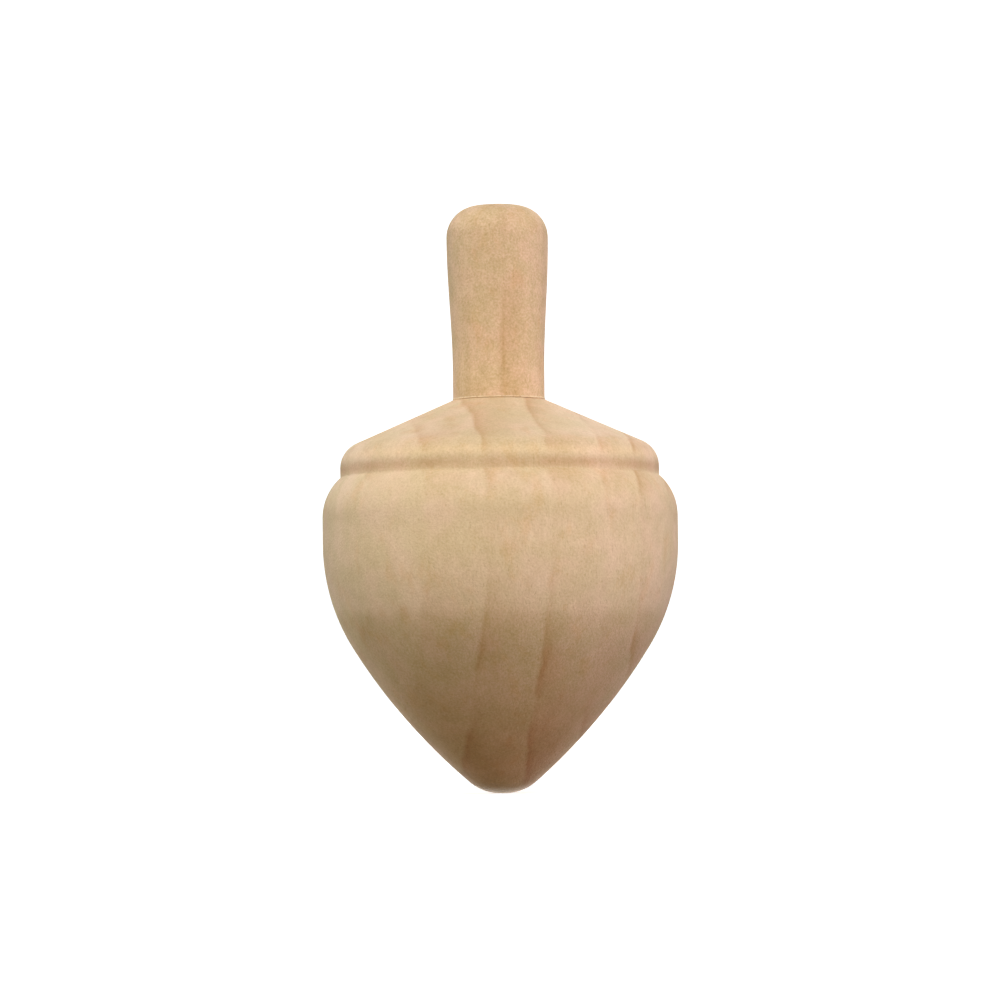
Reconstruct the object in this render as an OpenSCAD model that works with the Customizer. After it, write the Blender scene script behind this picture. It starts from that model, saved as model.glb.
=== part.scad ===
// Acorn-shaped wooden finger top, in millimetres.
// The spinning point is at the origin and the stem stands up along +Z.
// The body and its cap are one turning. The stem is a second turning, glued in with a round tenon.

/* [Overall] */
// Height from the spinning point to the end of the stem
height = 63.0; // [56:0.5:80]
// Widest diameter of the body
body_d = 38.1; // [30:0.1:48]

/* [Nose] */
// Height of the widest place above the point
belly_z = 26.7; // [22:0.1:32]
// Radius of the rounding below the widest place
belly_r = 21.1; // [14:0.5:24]
// Radius of the long curve from the belly down to the point
nose_r = 62.0; // [45:0.5:150]
// Radius of the rounded point
tip_r = 5.0; // [1:0.1:6]
// Diameter of the flat that the top spins on
tip_flat_d = 0.6; // [0.4:0.1:2]

/* [Shoulder] */
// Height of the straight band above the widest place
band_h = 2.85; // [0.2:0.05:8]
// Radius of the rounding over the shoulder
shoulder_r = 5.7; // [3:0.1:9]
// How far the body stands out past the cap
cap_step = 1.95; // [0.5:0.05:2.8]

/* [Cap] */
// Height of the straight foot of the cap
cap_foot_h = 1.05; // [0.2:0.05:4]
// Radius of the rounding over the edge of the cap
cap_edge_r = 2.8; // [1:0.05:5]
// Slope of the cap in degrees above level
cap_slope = 23.8; // [10:0.1:32]

/* [Stem] */
// Diameter of the stem where it leaves the body
stem_foot_d = 9.85; // [8:0.05:12]
// Bevel around the foot of the stem
stem_foot_bevel = 0.15; // [0.05:0.05:0.5]
// Length of the straight part above the foot
stem_straight = 2.9; // [0.5:0.1:6]
// Diameter of the stem at its swollen end
stem_head_d = 10.95; // [9:0.05:14]
// Radius of the rounded end of the stem
stem_end_r = 3.4; // [0.5:0.1:4.2]

/* [Glued joint] */
// Diameter of the tenon under the stem
tenon_d = 6.0; // [4:0.1:7.2]
// Length of the tenon
tenon_l = 12.0; // [6:0.5:18]
// Bevel on the end of the tenon
tenon_bevel = 0.6; // [0.2:0.1:1.2]
// Thickness of the glue around the tenon
glue_t = 0.1; // [0.05:0.01:0.2]
// Room left under the tenon for spare glue
glue_room = 1.0; // [0.5:0.1:3]
// Width of the rim of the seat past the foot of the stem
seat_rim = 0.15; // [0:0.05:0.5]

/* [Hidden] */
$fn = 96;

// Furthest that a straight piece of an outline may lie from its true curve
outline_tol = 0.005;
// Included angle of a drill's point
drill_point = 118;
// Steps in the swelling of the stem
swell_steps = 16;
// How far a cut runs past the face it starts from
past = 1;

body_r = body_d / 2;
tip_flat_r = tip_flat_d / 2;
tip_c = [tip_flat_r, tip_r];
belly_c = [body_r - belly_r, belly_z];
// The nose curve runs smoothly into both the rounded point and the belly
nose_c = meeting(tip_c, nose_r - tip_r, belly_c, nose_r - belly_r);
nose_start = bearing(tip_c - nose_c);
nose_end = bearing(belly_c - nose_c);

shoulder_c = [body_r - shoulder_r, belly_z + band_h];
shoulder_end = acos((shoulder_r - cap_step) / shoulder_r);
cap_r = body_r - cap_step;
cap_z = shoulder_c.y + shoulder_r * sin(shoulder_end);

cap_edge_c = [cap_r - cap_edge_r, cap_z + cap_foot_h];
cap_edge_end = 90 - cap_slope;
cone_foot = cap_edge_c + cap_edge_r * [cos(cap_edge_end), sin(cap_edge_end)];

stem_foot_r = stem_foot_d / 2;
stem_head_r = stem_head_d / 2;
seat_r = stem_foot_r + seat_rim;
seat_z = cone_foot.y + (cone_foot.x - seat_r) * tan(cap_slope);

tenon_r = tenon_d / 2;
bore_r = tenon_r + glue_t;
bore_depth = tenon_l + glue_room;
drill_h = bore_r / tan(drill_point / 2);

swell_z = seat_z + stem_straight;
stem_end_c = [stem_head_r - stem_end_r, height - stem_end_r];

// Direction of a vector, in degrees
function bearing(v) = atan2(v.y, v.x);

// Point that lies r1 from c1 and r2 from c2, on the left going from c1 to c2
function meeting(c1, r1, c2, r2) =
    let(d = norm(c2 - c1))
    let(along = (d * d + r1 * r1 - r2 * r2) / (2 * d))
    let(across = sqrt(r1 * r1 - along * along))
    let(u = (c2 - c1) / d)
    c1 + along * u + across * [-u.y, u.x];

// Number of straight pieces that keep an arc within the tolerance
function arc_steps(r, sweep) = max(2, ceil(sweep / (2 * acos(1 - outline_tol / r))));

// Points of an arc about c, from angle a to angle b, without its first point
function arc(c, r, a, b) =
    let(n = arc_steps(r, abs(b - a)))
    [for (i = [1:n]) c + r * [cos(a + (b - a) * i / n), sin(a + (b - a) * i / n)]];

// Points of the stem's S-shaped swelling, a half wave of the cosine, without its first point
function swelling() =
    [for (i = [1:swell_steps])
        let(t = i / swell_steps)
        [stem_foot_r + (stem_head_r - stem_foot_r) * (1 - cos(180 * t)) / 2,
         swell_z + (stem_end_c.y - swell_z) * t]];

// Half outline of the body and cap, from the point up to the stem's seat
body_outline = concat(
    [[0, 0], [tip_flat_r, 0]],
    arc(tip_c, tip_r, -90, nose_start),
    arc(nose_c, nose_r, nose_start, nose_end),
    arc(belly_c, belly_r, nose_end, 0),
    [[body_r, shoulder_c.y]],
    arc(shoulder_c, shoulder_r, 0, shoulder_end),
    [[cap_r, cap_edge_c.y]],
    arc(cap_edge_c, cap_edge_r, 0, cap_edge_end),
    [[seat_r, seat_z], [0, seat_z]]
);

// Half outline of the stem above its seat
stem_outline = concat(
    [
        [0, seat_z],
        [stem_foot_r - stem_foot_bevel, seat_z],
        [stem_foot_r, seat_z + stem_foot_bevel],
        [stem_foot_r, swell_z]
    ],
    swelling(),
    arc(stem_end_c, stem_end_r, 0, 90),
    [[0, height]]
);

module body() {
    color([0.86, 0.70, 0.50])
    difference() {
        rotate_extrude() polygon(body_outline);
        translate([0, 0, seat_z - bore_depth]) cylinder(h = bore_depth + past, r = bore_r);
        translate([0, 0, seat_z - bore_depth - drill_h]) cylinder(h = drill_h, r1 = 0, r2 = bore_r);
    }
}

module finger_stem() {
    color([0.82, 0.65, 0.45])
    union() {
        rotate_extrude() polygon(stem_outline);
        translate([0, 0, seat_z - tenon_l + tenon_bevel])
            cylinder(h = tenon_l - tenon_bevel, r = tenon_r);
        translate([0, 0, seat_z - tenon_l])
            cylinder(h = tenon_bevel, r1 = tenon_r - tenon_bevel, r2 = tenon_r);
    }
}

module tenon_glue() {
    color([0.93, 0.88, 0.68])
    translate([0, 0, seat_z - tenon_l + tenon_bevel])
    difference() {
        cylinder(h = tenon_l - tenon_bevel, r = bore_r);
        translate([0, 0, -past]) cylinder(h = tenon_l + 2 * past, r = tenon_r);
    }
}

body();
finger_stem();
tenon_glue();
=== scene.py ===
import math

import bpy
import numpy as np
from mathutils import Matrix, Vector


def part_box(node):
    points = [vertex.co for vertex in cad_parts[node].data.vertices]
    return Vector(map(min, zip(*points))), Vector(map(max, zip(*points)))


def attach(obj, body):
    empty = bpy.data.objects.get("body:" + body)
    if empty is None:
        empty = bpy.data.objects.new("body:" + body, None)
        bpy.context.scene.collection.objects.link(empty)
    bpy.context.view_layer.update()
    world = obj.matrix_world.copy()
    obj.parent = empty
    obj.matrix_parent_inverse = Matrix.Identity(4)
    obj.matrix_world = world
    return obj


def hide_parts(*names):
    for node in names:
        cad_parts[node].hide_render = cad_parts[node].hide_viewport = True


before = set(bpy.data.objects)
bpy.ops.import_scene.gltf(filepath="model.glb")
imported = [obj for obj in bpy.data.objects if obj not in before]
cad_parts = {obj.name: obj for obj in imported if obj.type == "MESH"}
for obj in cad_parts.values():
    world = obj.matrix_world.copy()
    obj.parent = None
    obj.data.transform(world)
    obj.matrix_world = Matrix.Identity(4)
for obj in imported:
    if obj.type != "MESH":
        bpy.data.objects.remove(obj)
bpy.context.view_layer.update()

mm = 0.001
fullTurn = 2 * math.pi
print("frame loaded:", sorted(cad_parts))


def arc(centre, radius, start, end, spacing):
    # points centre + radius (cos a, sin a), with the angle a running evenly from start to end in degrees
    count = max(3, math.ceil(abs(math.radians(end - start)) * radius / spacing) + 1)
    a = np.radians(np.linspace(start, end, count))
    return np.stack([centre[0] + radius * np.cos(a), centre[1] + radius * np.sin(a)], axis=1)


def straight(start, end, spacing):
    # points start + t (end - start), with t running evenly from 0 to 1
    start, end = np.asarray(start, float), np.asarray(end, float)
    t = np.linspace(0, 1, max(2, math.ceil(np.linalg.norm(end - start) / spacing) + 1))
    return start + t[:, None] * (end - start)


def joined(*stretches, tolerance=1e-6):
    # one outline from several stretches, with each point that two of them share kept once
    points = np.concatenate(stretches)
    step = np.linalg.norm(np.diff(points, axis=0), axis=1)
    return points[np.concatenate([[True], step > tolerance])]


def bearing(vector):
    # direction of a vector, in degrees
    return math.degrees(math.atan2(vector[1], vector[0]))


def meeting(c1, r1, c2, r2):
    # the point that lies r1 from c1 and r2 from c2, on the left going from c1 to c2
    c1, c2 = np.asarray(c1, float), np.asarray(c2, float)
    gap = np.linalg.norm(c2 - c1)
    along = (gap * gap + r1 * r1 - r2 * r2) / (2 * gap)
    across = math.sqrt(r1 * r1 - along * along)
    u = (c2 - c1) / gap
    return c1 + along * u + across * np.array([-u[1], u[0]])


def smoothNoise(s, z, turn):
    # a sum of waves cos(k turn + m z + phase) for whole numbers k, and a random m and phase for each
    rng = np.random.default_rng(s["waveSeed"])
    total = np.zeros(np.broadcast(z, turn).shape)
    for k in range(s["waveCount"]):
        m = rng.normal(0, 1 / s["waveLength"])
        total += np.cos(k * turn + m * z + rng.uniform(0, fullTurn)) / (1 + k) ** 0.5
    return total / s["waveCount"] ** 0.5


def sandingDepth(s, z, turn):
    # shallow waves from hand sanding, between 0 and the unevenness: half of (1 + noise)
    return s["unevenness"] * (1 + smoothNoise(s, z, turn).clip(-1, 1)) / 2


def turned(outline, turns, radiusChange):
    # each outline point (r, z) swept round Z: ((r + change) cos a, (r + change) sin a, z), in metres
    a = np.linspace(0, fullTurn, turns, endpoint=False)[None, :]
    r, z = outline[:, 0][:, None], outline[:, 1][:, None]
    r = r + radiusChange(r, z, a) * (r > 0)
    return np.stack([r * np.cos(a), r * np.sin(a), z + 0 * a], axis=-1) * mm


def meshFromGrid(name, grid, polesClosed):
    # rows of points round an axis, with quads between the rows. With poles, the first and last rows shrink
    # to one point each with a fan of triangles, and without them the last row joins the first.
    rows, turns = grid.shape[:2]
    if polesClosed:
        rows -= 2
        verts = np.concatenate([grid[1:-1].reshape(-1, 3), [grid[0].mean(axis=0), grid[-1].mean(axis=0)]])
    else:
        verts = grid.reshape(-1, 3)
    row = np.arange(rows - 1 if polesClosed else rows)[:, None]
    around = np.arange(turns)
    after = (around + 1) % turns
    here, above = row * turns, (row + 1) % rows * turns
    quads = np.stack([here + around, here + after, above + after, above + around], axis=-1).reshape(-1, 4)
    loops, sizes = [quads.ravel()], [np.full(len(quads), 4)]
    if polesClosed:
        lowPole, highPole, last = rows * turns, rows * turns + 1, (rows - 1) * turns
        loops.append(np.stack([np.full(turns, lowPole), after, around], axis=-1).ravel())
        loops.append(np.stack([np.full(turns, highPole), last + around, last + after], axis=-1).ravel())
        sizes += [np.full(2 * turns, 3)]
    loops, sizes = np.concatenate(loops), np.concatenate(sizes)
    mesh = bpy.data.meshes.new(name)
    mesh.vertices.add(len(verts))
    mesh.vertices.foreach_set("co", verts.astype(np.float32).ravel())
    mesh.loops.add(len(loops))
    mesh.loops.foreach_set("vertex_index", loops.astype(np.int32))
    mesh.polygons.add(len(sizes))
    mesh.polygons.foreach_set("loop_start", (np.cumsum(sizes) - sizes).astype(np.int32))
    mesh.update(calc_edges=True)
    mesh.validate()
    mesh.shade_smooth()
    return mesh


def addPiece(name, grid, polesClosed, material, node):
    mesh = meshFromGrid(name, grid, polesClosed)
    piece = bpy.data.objects.new(name, mesh)
    bpy.context.scene.collection.objects.link(piece)
    mesh.materials.append(material)
    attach(piece, "root")
    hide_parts(node)
    print(name, "made:", len(mesh.polygons), "faces")


class Value:
    # a socket that can be added, taken away, multiplied, divided and raised as a number is
    def __init__(self, tree, socket):
        self.tree, self.socket = tree, socket

    def maths(self, operation, *terms):
        return self.tree.make("ShaderNodeMath", {"operation": operation}, dict(enumerate(terms)))

    def __add__(self, other):
        return self.maths("ADD", self, other)

    __radd__ = __add__

    def __sub__(self, other):
        return self.maths("SUBTRACT", self, other)

    def __rsub__(self, other):
        return self.maths("SUBTRACT", other, self)

    def __mul__(self, other):
        return self.maths("MULTIPLY", self, other)

    __rmul__ = __mul__

    def __truediv__(self, other):
        return self.maths("DIVIDE", self, other)

    def __rtruediv__(self, other):
        return self.maths("DIVIDE", other, self)

    def __pow__(self, other):
        return self.maths("POWER", self, other)

    def __rpow__(self, other):
        return self.maths("POWER", other, self)

    def __abs__(self):
        return self.maths("ABSOLUTE", self)

    def sine(self):
        return self.maths("SINE", self)


class ShaderTree:
    # an empty material, and the ways of adding nodes to it
    def __init__(self, name):
        self.material = bpy.data.materials.new(name)
        self.material.use_nodes = True
        self.nodes = self.material.node_tree.nodes
        self.links = self.material.node_tree.links
        self.nodes.clear()

    # any node, from its type, its settings and the values or links of its sockets
    def make(self, kind, settings=None, ins=None, out=0):
        node = self.nodes.new(kind)
        for key, value in (settings or {}).items():
            if key == "stops":
                self.setStops(node.color_ramp, value)
            else:
                setattr(node, key, value)
        for key, value in (ins or {}).items():
            if isinstance(value, Value):
                self.links.new(value.socket, node.inputs[key])
            else:
                node.inputs[key].default_value = value
        return Value(self, node.outputs[out]) if len(node.outputs) else None

    # grey stops of a ramp, each a place from 0 to 1 and a shade
    def setStops(self, ramp, stops):
        while len(ramp.elements) > 1:
            ramp.elements.remove(ramp.elements[-1])
        for i, (place, shade) in enumerate(stops):
            stop = ramp.elements[0] if i == 0 else ramp.elements.new(place)
            stop.position = place
            stop.color = (shade, shade, shade, 1)

    # where a point lies in the object's own space, in millimetres
    def place(self):
        return self.scaled(self.make("ShaderNodeTexCoord", out="Object"), (1 / mm, 1 / mm, 1 / mm))

    def scaled(self, vector, scale):
        return self.make("ShaderNodeVectorMath", {"operation": "MULTIPLY"}, {0: vector, 1: scale})

    def shifted(self, vector, shift):
        return self.make("ShaderNodeVectorMath", {"operation": "ADD"}, {0: vector, 1: shift})

    def axes(self, vector):
        split = self.make("ShaderNodeSeparateXYZ", None, {"Vector": vector}).socket.node
        return [Value(self, socket) for socket in split.outputs]

    def times(self, colour, factor):
        return self.make("ShaderNodeVectorMath", {"operation": "SCALE"}, {0: colour, "Scale": factor})

    def noise(self, vector, scale, detail=2.0, rough=0.5, twist=0.0):
        return self.make("ShaderNodeTexNoise", None,
                         {"Vector": vector, "Scale": scale, "Detail": detail, "Roughness": rough,
                          "Distortion": twist})

    # a smooth step: toLow up to the low value, toHigh from the high one
    def step(self, value, low, high, toLow=0.0, toHigh=1.0):
        return self.make("ShaderNodeMapRange", {"interpolation_type": "SMOOTHSTEP", "clamp": True},
                         {"Value": value, "From Min": low, "From Max": high,
                          "To Min": toLow, "To Max": toHigh})

    # sockets 6 and 7 and output 2 are the ones that a Mix node uses for colours
    def mix(self, factor, a, b, blend="MIX"):
        settings = {"data_type": "RGBA", "blend_type": blend, "clamp_factor": True}
        return self.make("ShaderNodeMix", settings, {0: factor, 6: a, 7: b}, out=2)

    # a colour multiplied by a tint, as far as amount says
    def tinted(self, colour, amount, tint):
        return self.mix(amount, colour, self.mix(1.0, colour, tint, "MULTIPLY"))

    def bump(self, strength, depth, height):
        return self.make("ShaderNodeBump", None, {"Strength": strength, "Distance": depth, "Height": height})

    # the finished material, from the sockets of its shader
    def surfaced(self, ins):
        shader = self.make("ShaderNodeBsdfPrincipled", None, ins)
        self.make("ShaderNodeOutputMaterial", None, {"Surface": shader})
        return self.material


def linear(red, green, blue):
    # a colour as a screen shows it, 0 to 255 a channel, in the linear values that the shader takes
    def channel(v):
        v /= 255
        return v / 12.92 if v <= 0.04045 else ((v + 0.055) / 1.055) ** 2.4
    return (channel(red), channel(green), channel(blue), 1)


# where the pieces meet and end, in millimetres
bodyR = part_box("body")[1].x / mm
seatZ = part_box("body")[1].z / mm
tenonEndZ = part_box("finger_stem")[0].z / mm
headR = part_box("finger_stem")[1].x / mm
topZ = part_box("finger_stem")[1].z / mm
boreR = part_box("tenon_glue")[1].x / mm
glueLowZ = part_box("tenon_glue")[0].z / mm
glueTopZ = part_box("tenon_glue")[1].z / mm

bodyShape = {
    "bellyRadius": 21.1,
    "noseRadius": 62.0,
    "pointRadius": 5.0,
    "pointFlat": 0.3,
    "bellyZ": 26.7,
    "band": 2.85,
    "shoulderRadius": 5.7,
    "capStep": 1.95,
    "capFoot": 1.05,
    "capEdgeRadius": 2.8,
    "capSlope": 23.8,
    "boreSlack": 1.0,
    "drillPoint": 118,
    "spacing": 0.26,
    "boreSpacing": 1.2,
    "turns": 300,
    "ovalness": 0.03,
    "ovalTurn": 0.7,
    "unevenness": 0.025,
    "waveSeed": 5,
    "waveCount": 9,
    "waveLength": 3.5,
    "evenRim": 2.2,
    "evenFade": 2.0,
}


def bodyOutline(s):
    # rounded point, long nose curve, belly, upright band, shoulder, cap foot, cap edge, cone, seat and bore
    gap, slope = s["spacing"], math.radians(s["capSlope"])
    pointC = (s["pointFlat"], s["pointRadius"])
    bellyC = (bodyR - s["bellyRadius"], s["bellyZ"])
    noseC = meeting(pointC, s["noseRadius"] - s["pointRadius"], bellyC, s["noseRadius"] - s["bellyRadius"])
    noseStart, noseEnd = bearing(pointC - noseC), bearing(bellyC - noseC)
    shoulderC = (bodyR - s["shoulderRadius"], s["bellyZ"] + s["band"])
    shoulderEnd = math.degrees(math.acos(1 - s["capStep"] / s["shoulderRadius"]))
    capR = bodyR - s["capStep"]
    capZ = shoulderC[1] + s["shoulderRadius"] * math.sin(math.radians(shoulderEnd))
    edgeC = (capR - s["capEdgeRadius"], capZ + s["capFoot"])
    cone = arc(edgeC, s["capEdgeRadius"], 0, 90 - s["capSlope"], gap)
    seatR = cone[-1][0] - (seatZ - cone[-1][1]) / math.tan(slope)
    boreZ = tenonEndZ - s["boreSlack"]
    drillZ = boreZ - boreR / math.tan(math.radians(s["drillPoint"] / 2))
    return joined(
        straight((0, 0), (s["pointFlat"], 0), gap),
        arc(pointC, s["pointRadius"], -90, noseStart, gap),
        arc(noseC, s["noseRadius"], noseStart, noseEnd, gap),
        arc(bellyC, s["bellyRadius"], noseEnd, 0, gap),
        straight((bodyR, s["bellyZ"]), (bodyR, shoulderC[1]), gap),
        arc(shoulderC, s["shoulderRadius"], 0, shoulderEnd, gap),
        straight((capR, capZ), (capR, edgeC[1]), gap / 2),
        cone,
        straight(cone[-1], (seatR, seatZ), gap),
        straight((seatR, seatZ), (boreR, seatZ), gap * 2),
        straight((boreR, seatZ), (boreR, boreZ), s["boreSpacing"]),
        straight((boreR, boreZ), (0, drillZ), s["boreSpacing"]),
    ), capZ


def bodyChange(r, z, a):
    # the blank dries a little oval, and sanding leaves waves. Both only take wood away, and none near
    # the bore.
    s = bodyShape
    outside = np.clip((r - boreR - s["evenRim"]) / s["evenFade"], 0, 1)
    oval = s["ovalness"] * (1 - np.cos(2 * a + s["ovalTurn"])) / 2
    return -(oval + sandingDepth(s, z, a)) * outside


bodyLine, capZ = bodyOutline(bodyShape)

stemShape = {
    "footRadius": 4.925,
    "footBevel": 0.15,
    "straightPart": 2.9,
    "endRadius": 3.4,
    "tenonRadius": 3.0,
    "tenonBevel": 0.6,
    "spacing": 0.22,
    "turns": 220,
    "unevenness": 0.02,
    "waveSeed": 11,
    "waveCount": 7,
    "waveLength": 3.0,
    "footFade": 0.4,
    "endFade": 2.0,
}


def stemOutline(s):
    # tenon end and wall, shoulder, bevelled foot, straight part, half wave of a cosine to the head, round end
    gap, tenon, foot = s["spacing"], s["tenonRadius"], s["footRadius"]
    endC = (headR - s["endRadius"], topZ - s["endRadius"])
    swellZ = seatZ + s["straightPart"]
    t = np.linspace(0, 1, math.ceil((endC[1] - swellZ) / gap) + 1)
    swell = np.stack([foot + (headR - foot) * (1 - np.cos(math.pi * t)) / 2,
                      swellZ + (endC[1] - swellZ) * t], axis=1)
    tenonCorner = (tenon - s["tenonBevel"], tenonEndZ)
    tenonSide = (tenon, tenonEndZ + s["tenonBevel"])
    footCorner = (foot - s["footBevel"], seatZ)
    footSide = (foot, seatZ + s["footBevel"])
    return joined(
        straight((0, tenonEndZ), tenonCorner, gap * 3),
        straight(tenonCorner, tenonSide, gap),
        straight(tenonSide, (tenon, seatZ), gap * 4),
        straight((tenon, seatZ), footCorner, gap * 2),
        straight(footCorner, footSide, gap / 3),
        straight(footSide, (foot, swellZ), gap),
        swell,
        arc(endC, s["endRadius"], 0, 90, gap),
        straight((endC[0], topZ), (0, topZ), gap),
    )


def stemChange(r, z, a):
    # sanding waves that only take wood away, with none on the tenon or at the middle of the rounded end
    s = stemShape
    outside = np.clip((z - seatZ) / s["footFade"], 0, 1) * np.clip(r / s["endFade"], 0, 1)
    return -sandingDepth(s, z, a) * outside


glueShape = {
    "film": 0.01,
    "filmInset": 0.2,
    "bead": 0.1,
    "beadUneven": 0.4,
    "beadInset": 0.05,
    "beadRise": 0.14,
    "beadReach": 130,
    "beadSteps": 14,
    "spacing": 0.5,
    "turns": 260,
    "waveSeed": 23,
    "waveCount": 8,
    "waveLength": 9.0,
    "waveLimit": 1.4,
}


def glueGrid(s):
    # a thin sleeve round the tenon, a film under the stem's shoulder, and the bead that it squeezes out at
    # the foot: the bead's edge is centre + size (cos b, sin b), and its size wavers round the turn
    gap, tenon, film = s["spacing"], stemShape["tenonRadius"], glueTopZ + s["film"]
    foot, filmEnd = stemShape["footRadius"], stemShape["footRadius"] - s["filmInset"]
    sleeve = joined(
        straight((filmEnd, glueTopZ), (boreR, glueTopZ), gap),
        straight((boreR, glueTopZ), (boreR, glueLowZ), gap * 2),
        straight((boreR, glueLowZ), (tenon, glueLowZ), gap / 5),
        straight((tenon, glueLowZ), (tenon, film), gap * 2),
        straight((tenon, film), (filmEnd, film), gap),
    )[::-1]
    a = np.linspace(0, fullTurn, s["turns"], endpoint=False)[None, :]
    b = np.radians(np.linspace(-s["beadReach"], s["beadReach"], s["beadSteps"]))[:, None]
    waves = smoothNoise(s, a, a).clip(-s["waveLimit"], s["waveLimit"])
    size = s["bead"] * (1 + s["beadUneven"] * waves)
    beadR = foot - s["beadInset"] + size * np.cos(b)
    beadZ = glueTopZ + s["beadRise"] + (size * np.sin(b)).clip(-s["beadRise"], None)
    r = np.concatenate([np.repeat(sleeve[:, :1], s["turns"], axis=1), beadR])
    z = np.concatenate([np.repeat(sleeve[:, 1:], s["turns"], axis=1), beadZ])
    return np.stack([r * np.cos(a), r * np.sin(a), z], axis=-1) * mm


# lengths and ring places are in millimetres, noise scales are per millimetre, and a size is a scale along
# X, Y and Z. Edges are the two noise values between which a pattern comes in.
bodyWood = {
    "noiseShift": (31.0, 7.0, 12.0),
    "early": linear(227, 201, 167),
    "late": linear(205, 163, 117),
    "pithDistance": 150.0,
    "pithTurn": 6.0,
    "ringSpan": (-20.0, 20.0),
    "ringSharp": 0.2,
    "ringFade": ((0.18, 0.5), (1.0, 0.03)),
    "rings": ((-15.5, 0.5, 4.6), (-10.3, 0.6, 5.0), (-4.6, 0.8, 6.0), (2.0, 1.0, 5.4),
              (7.9, 0.8, 4.0), (12.4, 1.0, 4.2), (17.0, 0.9, 2.5)),
    "wobbleSize": (1, 1, 0.3),
    "wobbleScale": 0.09,
    "wobble": 2.0,
    "rippleSize": (1, 1, 0.25),
    "rippleScale": 0.5,
    "ripple": 0.9,
    "patchSize": (1, 1, 0.5),
    "patchScale": 0.13,
    "patchEdges": (0.38, 0.62),
    "patchLow": 0.15,
    "slopeFrom": 0.12,
    "slopeTo": 0.6,
    "uprightRings": 0.15,
    "greenCast": (0.99, 1.0, 0.945, 1),
    "pinkCast": (1.03, 0.985, 1.0, 1),
    "cloudScale": 0.28,
    "cloudEdges": (0.33, 0.67),
    "cloud": 0.07,
    "blotchSize": (0.45, 0.45, 0.25),
    "blotchEdges": (0.52, 0.7),
    "blotchCast": (0.95, 0.84, 0.66, 1),
    "blotch": 0.45,
    "streakSize": (0.55, 0.55, 0.035),
    "streak": 0.09,
    "fibreSize": (2.6, 2.6, 0.4),
    "fibre": 0.09,
    "poreSize": (5.0, 5.0, 1.2),
    "poreEdges": (0.62, 0.74),
    "pore": 0.07,
    "fuzzScale": 4.5,
    "fuzz": 0.48,
    "roughTop": 22.0,
    "roughLow": 14.0,
    "roughGain": 1.5,
    "mottleScale": 0.9,
    "mottle": 0.17,
    "curlScale": 0.8,
    "curlTwist": 1.6,
    "curlWidth": 0.02,
    "curlPatchScale": 0.168,
    "curlPatchEdges": (0.5, 0.62),
    "curl": 0.04,
    "channelPowers": (0.75, 1.0, 1.6),
    "cutPitch": 0.42,
    "cutDriftScale": 0.5,
    "cutDrift": 6.0,
    "cutRise": 0.015,
    "fibreRise": 0.8,
    "fuzzRise": 1.0,
    "poreSink": 0.4,
    "bump": 0.9,
    "bumpDepth": 0.06,
    "roughness": 0.7,
    "fuzzRoughness": 0.12,
    "lateGloss": 0.05,
    "specular": 0.3,
    "sheen": 0.12,
    "sheenRoughness": 0.6,
    # painted shade: the nose darker and browner, for the shade on its downward-facing surface
    "paintedNoseShade": (0.8, 0.64, 0.47, 1),
    "noseTop": 20.5,
    "noseLow": 2.0,
    "lowerZ": 19.2,
    "lowerSoft": 0.8,
    "lowerWaverScale": 0.2,
    "lowerWaver": 2.5,
    "lowerTone": (0.9, 0.875, 0.81, 1),
    # painted shade in the crease under the cap, broken up by a noise
    "creaseHeight": 0.7,
    "creaseHalf": 0.85,
    "creaseShadeTone": (0.86, 0.75, 0.68, 1),
    "creaseShadeScale": 0.2,
    "creaseShadeEdges": (0.3, 0.62),
    "creaseShadeLeast": 0.35,
    # painted highlight: a paler band on the cap's rounded edge
    "edgeHeight": 2.0,
    "edgeHalf": 0.85,
    "paintedEdgeHighlight": 1.1,
}

# the stem is cut from another blank of the same wood
stemWood = {
    **bodyWood,
    "noiseShift": (3.0, 45.0, 27.0),
    "early": linear(221, 191, 155),
    "late": linear(196, 155, 106),
    "pithDistance": 90.0,
    "pithTurn": 14.0,
    "ringSpan": (-8.0, 8.0),
    "ringSharp": 0.4,
    "rings": ((-4.4, 0.5, 2.6), (-1.2, 1.0, 4.0), (3.1, 0.3, 2.5)),
    "wobble": 1.0,
    "ripple": 0.5,
    "uprightRings": 0.8,
    "cloudScale": 0.4,
    "curlPatchScale": 0.24,
    "fuzz": 0.78,
    "mottle": 0.26,
    "roughGain": 1.0,
    "endTone": (0.97, 0.96, 0.95, 1),
    "endDepth": 1.5,
}


def ringStops(w):
    # late wood starts sharply at each ring's edge and fades over the width given with that edge
    low, high = w["ringSpan"]
    fade = [(-w["ringSharp"], 0, 0.0), (w["ringSharp"], 0, 1.0)]
    fade += [(0, part, shade) for part, shade in w["ringFade"]]
    return [((edge + shift + width * part - low) / (high - low), strength * shade)
            for edge, strength, width in w["rings"] for shift, part, shade in fade]


def lateWood(t, w, place, q):
    # how much late wood there is, read from the ring coordinate: the pith's distance less the point's
    # distance from the pith, plus a slow wobble. The rings are tubes round a far pith that stands upright.
    x, y, z = t.axes(place)
    pith, turn = w["pithDistance"], math.radians(w["pithTurn"])
    dx, dy = x - pith * math.cos(turn), y - pith * math.sin(turn)
    wobble = (t.noise(t.scaled(q, w["wobbleSize"]), w["wobbleScale"]) - 0.5) * w["wobble"]
    ripple = (t.noise(t.scaled(q, w["rippleSize"]), w["rippleScale"]) - 0.5) * w["ripple"]
    ring = pith - (dx * dx + dy * dy) ** 0.5 + wobble + ripple
    low, high = w["ringSpan"]
    return t.make("ShaderNodeValToRGB", {"stops": ringStops(w)}, {"Fac": (ring - low) / (high - low)})


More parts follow.
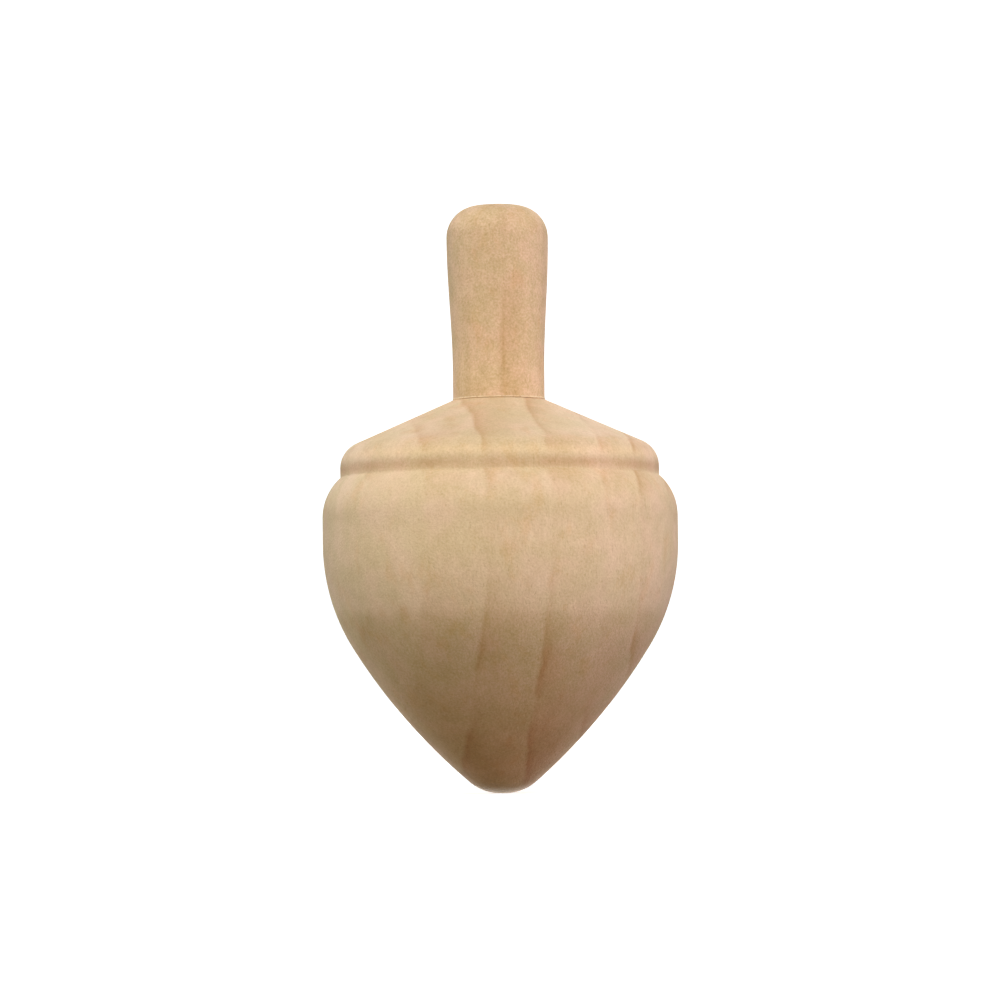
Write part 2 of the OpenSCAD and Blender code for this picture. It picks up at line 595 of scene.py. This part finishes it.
def woodMaterial(name, w, toneAndPaintedLight):
    # pale turned wood, bare and sanded
    t = ShaderTree(name)
    place = t.place()
    z = t.axes(place)[2]
    q = t.shifted(place, w["noiseShift"])

    # the rings show in patches, and more on slopes than on upright walls
    late = lateWood(t, w, place, q)
    patchy = t.step(t.noise(t.scaled(q, w["patchSize"]), w["patchScale"]), *w["patchEdges"], w["patchLow"])
    slope = abs(t.axes(t.make("ShaderNodeTexCoord", out="Normal"))[2])
    sloping = t.step(slope, w["slopeFrom"], w["slopeTo"], w["uprightRings"])
    colour = t.mix(late * patchy * sloping, w["early"], w["late"])

    # cloudy mottling between a greener and a pinker cast, and orange blotches
    clouds = t.step(t.noise(q, w["cloudScale"], 3), *w["cloudEdges"])
    colour = t.mix(1.0, colour, t.mix(clouds, w["greenCast"], w["pinkCast"]), "MULTIPLY")
    blotches = t.step(t.noise(t.scaled(q, w["blotchSize"]), 1.0, 3, 0.6), *w["blotchEdges"])
    # the body's call adds painted shade and a painted highlight to its own tones
    colour = toneAndPaintedLight(t, t.tinted(colour, blotches * w["blotch"], w["blotchCast"]), q, z)

    # streaks and fibres run along Z, pores are short dashes, fuzz is the raised nap, curls are fine hairs
    streaks = t.noise(t.scaled(q, w["streakSize"]), 1.0, 2) - 0.5
    fibres = t.noise(t.scaled(q, w["fibreSize"]), 1.0, 3, 0.6) - 0.5
    pores = t.step(t.noise(t.scaled(q, w["poreSize"]), 1.0, 1), *w["poreEdges"])
    fuzz = t.noise(q, w["fuzzScale"], 2, 0.65) - 0.5
    nap = fuzz * w["fuzz"] * t.step(z, w["roughLow"], w["roughTop"], w["roughGain"])
    curls = 1 - t.step(abs(t.noise(q, w["curlScale"], 1, twist=w["curlTwist"]) - 0.5), 0.0, w["curlWidth"])
    curls = curls * t.step(t.noise(q, w["curlPatchScale"]), *w["curlPatchEdges"])
    mottle = (t.noise(q, w["mottleScale"], 2) - 0.5) * w["mottle"]
    shade = (1 + streaks * w["streak"] + fibres * w["fibre"] + nap + curls * w["curl"]
             - pores * w["pore"] + (clouds - 0.5) * w["cloud"] + mottle)

    # denser wood takes out more blue than red, so each channel is the shade to its own power
    red, green, blue = w["channelPowers"]
    dense = t.make("ShaderNodeCombineXYZ", None, {0: shade ** red, 1: shade ** green, 2: shade ** blue})
    colour = t.mix(1.0, colour, dense, "MULTIPLY")

    # cut marks of the lathe tool ring the piece and drift up and down
    cut = (z * (fullTurn / w["cutPitch"]) + t.noise(q, w["cutDriftScale"]) * w["cutDrift"]).sine()
    height = fibres * w["fibreRise"] + fuzz * w["fuzzRise"] - pores * w["poreSink"] + cut * w["cutRise"]
    return t.surfaced({
        "Base Color": colour,
        "Roughness": w["roughness"] + fuzz * w["fuzzRoughness"] - late * w["lateGloss"],
        "Normal": t.bump(w["bump"], w["bumpDepth"] * mm, height),
        "Specular IOR Level": w["specular"],
        "Sheen Weight": w["sheen"],
        "Sheen Roughness": w["sheenRoughness"],
    })


def bodyTonesAndPaintedLight(t, colour, q, z):
    # the nose gets painted shade, darker and browner; below a wavering line the colour is a little darker;
    # the cap's edge gets a painted highlight, and painted shade lies in the crease under it
    w = bodyWood
    # painted shade on the nose, strongest towards the point
    colour = t.tinted(colour, t.step(z, w["noseTop"], w["noseLow"]), w["paintedNoseShade"])
    # below lowerZ, along a wavering line, the colour turns a little darker
    waver = z + (t.noise(q, w["lowerWaverScale"]) - 0.5) * w["lowerWaver"]
    lower = t.step(waver, w["lowerZ"] + w["lowerSoft"], w["lowerZ"] - w["lowerSoft"])
    colour = t.tinted(colour, lower, w["lowerTone"])
    # painted highlight: the band round the cap's edge is made paler
    fromEdge = abs(z - (capZ + w["edgeHeight"]))
    colour = t.times(colour, t.step(fromEdge, 0.0, w["edgeHalf"], w["paintedEdgeHighlight"]))
    # painted shade: a darker band in the crease under the cap's edge, broken up by noise
    fromCrease = abs(z - (capZ + w["creaseHeight"]))
    creaseShadeBreakup = t.step(t.noise(q, w["creaseShadeScale"]), *w["creaseShadeEdges"], w["creaseShadeLeast"])
    return t.tinted(colour, (1 - t.step(fromCrease, 0.0, w["creaseHalf"])) * creaseShadeBreakup, w["creaseShadeTone"])


def stemFinish(t, colour, q, z):
    # fingers have polished the rounded end a little darker
    end = t.step(z, topZ - stemWood["endDepth"], topZ)
    return t.tinted(colour, end, stemWood["endTone"])


driedGlue = {
    "cloudy": linear(234, 208, 171),
    "clear": linear(241, 220, 188),
    "cloudScale": 0.9,
    "cloudEdges": (0.35, 0.65),
    "dusty": linear(216, 184, 144),
    "dustScale": 6.0,
    "dustEdges": (0.55, 0.7),
    "cloudRise": 0.5,
    "bump": 0.5,
    "bumpDepth": 0.04,
    "roughness": 0.5,
    "dustRoughness": 0.25,
}


def glueMaterial(w):
    # dried glue, cloudy and a little glossier than the wood, with wood dust on it
    t = ShaderTree("driedGlue")
    place = t.place()
    cloud = t.step(t.noise(place, w["cloudScale"], 3), *w["cloudEdges"])
    dust = t.step(t.noise(place, w["dustScale"], 2), *w["dustEdges"])
    return t.surfaced({
        "Base Color": t.mix(dust, t.mix(cloud, w["cloudy"], w["clear"]), w["dusty"]),
        "Roughness": w["roughness"] + dust * w["dustRoughness"],
        "Normal": t.bump(w["bump"], w["bumpDepth"] * mm, dust + cloud * w["cloudRise"]),
    })


addPiece("turned_body", turned(bodyLine, bodyShape["turns"], bodyChange), True,
         woodMaterial("bodyWood", bodyWood, bodyTonesAndPaintedLight), "body")
addPiece("turned_stem", turned(stemOutline(stemShape), stemShape["turns"], stemChange), True,
         woodMaterial("stemWood", stemWood, stemFinish), "finger_stem")
addPiece("glue_line", glueGrid(glueShape), False,
         glueMaterial(driedGlue), "tenon_glue")

cameraPlace = {
    "distance": 400 * mm,
    "elevation": -2.7,
    "aimZ": 31.35 * mm,
    "roll": -0.625,
    "lens": 134.3,
    "nearest": 0.01,
    "furthest": 20,
}


def makeCamera(c):
    # it stands at aim + distance (0, -cos e, sin e) and looks back along that line
    e = math.radians(c["elevation"])
    aim = Vector((0, 0, c["aimZ"]))
    back = Vector((0, -math.cos(e), math.sin(e)))
    camera = bpy.data.objects.new("camera", bpy.data.cameras.new("camera"))
    camera.data.lens = c["lens"]
    camera.data.clip_start, camera.data.clip_end = c["nearest"], c["furthest"]
    roll = Matrix.Rotation(math.radians(c["roll"]), 4, "Z")
    turn = (-back).to_track_quat("-Z", "Y").to_matrix().to_4x4() @ roll
    camera.matrix_world = Matrix.Translation(aim + back * c["distance"]) @ turn
    bpy.context.scene.collection.objects.link(camera)
    bpy.context.scene.camera = camera


# lengths in millimetres
stage = {
    "floorRadius": 1500.0,
    "bendRadius": 500.0,
    "wallTop": 1000.0,
    "spacing": 80.0,
    "turns": 96,
    "paint": 0.8,
    "glowNear": 0.72,
    "glowFar": 1.1,
    "glowFrom": 50.0,
    "glowTo": 450.0,
}


def makeStage(s):
    # a flat round floor that curves up into a round wall and a dome, all facing inwards
    bend, wall = s["bendRadius"], s["floorRadius"] + s["bendRadius"]
    outline = joined(
        straight((0, 0), (s["floorRadius"], 0), s["spacing"]),
        arc((s["floorRadius"], bend), bend, -90, 0, s["spacing"]),
        straight((wall, bend), (wall, s["wallTop"]), s["spacing"]),
        arc((0, s["wallTop"]), wall, 0, 90, s["spacing"]),
    )
    mesh = meshFromGrid("sweep", turned(outline, s["turns"], lambda r, z, a: 0)[::-1], True)
    sweep = bpy.data.objects.new("sweep", mesh)
    bpy.context.scene.collection.objects.link(sweep)

    # it glows a little, more so further out, and is clear from below
    t = ShaderTree("paleSweep")
    place = t.make("ShaderNodeTexCoord", out="Object")
    away = t.make("ShaderNodeVectorMath", {"operation": "LENGTH"}, {0: place}, out="Value")
    glow = t.step(away, s["glowFrom"] * mm, s["glowTo"] * mm, s["glowNear"], s["glowFar"])
    paint = (s["paint"], s["paint"], s["paint"], 1)
    shader = t.make("ShaderNodeBsdfPrincipled", None,
                    {"Base Color": paint, "Roughness": 1.0, "Specular IOR Level": 0.0,
                     "Emission Color": glow, "Emission Strength": 1.0})
    under = t.make("ShaderNodeNewGeometry", out="Backfacing")
    clear = t.make("ShaderNodeBsdfTransparent")
    t.make("ShaderNodeOutputMaterial", None,
           {"Surface": t.make("ShaderNodeMixShader", None, {0: under, 1: shader, 2: clear})})
    mesh.materials.append(t.material)
    sweep.visible_diffuse = False
    sweep.visible_glossy = False
    sweep.visible_shadow = False


lampPlace = {
    "aimZ": 30 * mm,
    "distance": 1.2,
    "width": 0.7,
    "worldStrength": 0.03,
}

# each lamp: azimuth (0 is the camera's side, 90 the right), elevation, watts, colour
lamps = {
    "leftHigh": (-40, 62, 1.9, (0.97, 1.0, 1.0)),
    "key": (18, 45, 10.1, (1.0, 0.99, 0.965)),
    "frontFill": (0, 12, 2.8, (1.0, 0.76, 0.5)),
    "leftLow": (-65, -16, 4.2, (1.0, 0.99, 0.88)),
    "leftSide": (-90, 25, 2.1, (0.93, 1.0, 0.97)),
    "rightSide": (85, -10, 6.8, (1.0, 0.9, 0.95)),
    "backLow": (180, -30, 10.0, (1.0, 1.0, 0.96)),
    "backLeft": (-130, 25, 3.2, (1.0, 1.0, 0.98)),
    "backHigh": (165, 35, 4.0, (1.0, 0.99, 0.97)),
}


def addLamp(name, azimuth, elevation, power, colour):
    # a disc at aim + distance (sin a cos e, -cos a cos e, sin e), facing the middle of the top
    a, e = math.radians(azimuth), math.radians(elevation)
    way = Vector((math.sin(a) * math.cos(e), -math.cos(a) * math.cos(e), math.sin(e)))
    light = bpy.data.lights.new(name, "AREA")
    light.shape, light.size, light.energy, light.color = "DISK", lampPlace["width"], power, colour
    lamp = bpy.data.objects.new(name, light)
    turn = way.to_track_quat("Z", "Y").to_matrix().to_4x4()
    centre = Vector((0, 0, lampPlace["aimZ"])) + way * lampPlace["distance"]
    lamp.matrix_world = Matrix.Translation(centre) @ turn
    lamp.visible_camera = False
    bpy.context.scene.collection.objects.link(lamp)


def makeWorld(strength):
    world = bpy.data.worlds.new("room")
    world.use_nodes = True
    background = world.node_tree.nodes["Background"]
    background.inputs["Color"].default_value = (1, 1, 1, 1)
    background.inputs["Strength"].default_value = strength
    bpy.context.scene.world = world


makeCamera(cameraPlace)
makeStage(stage)
for lampName, values in lamps.items():
    addLamp(lampName, *values)
makeWorld(lampPlace["worldStrength"])
bpy.context.scene.view_settings.view_transform = "Standard"
print("camera, stage and lights made")
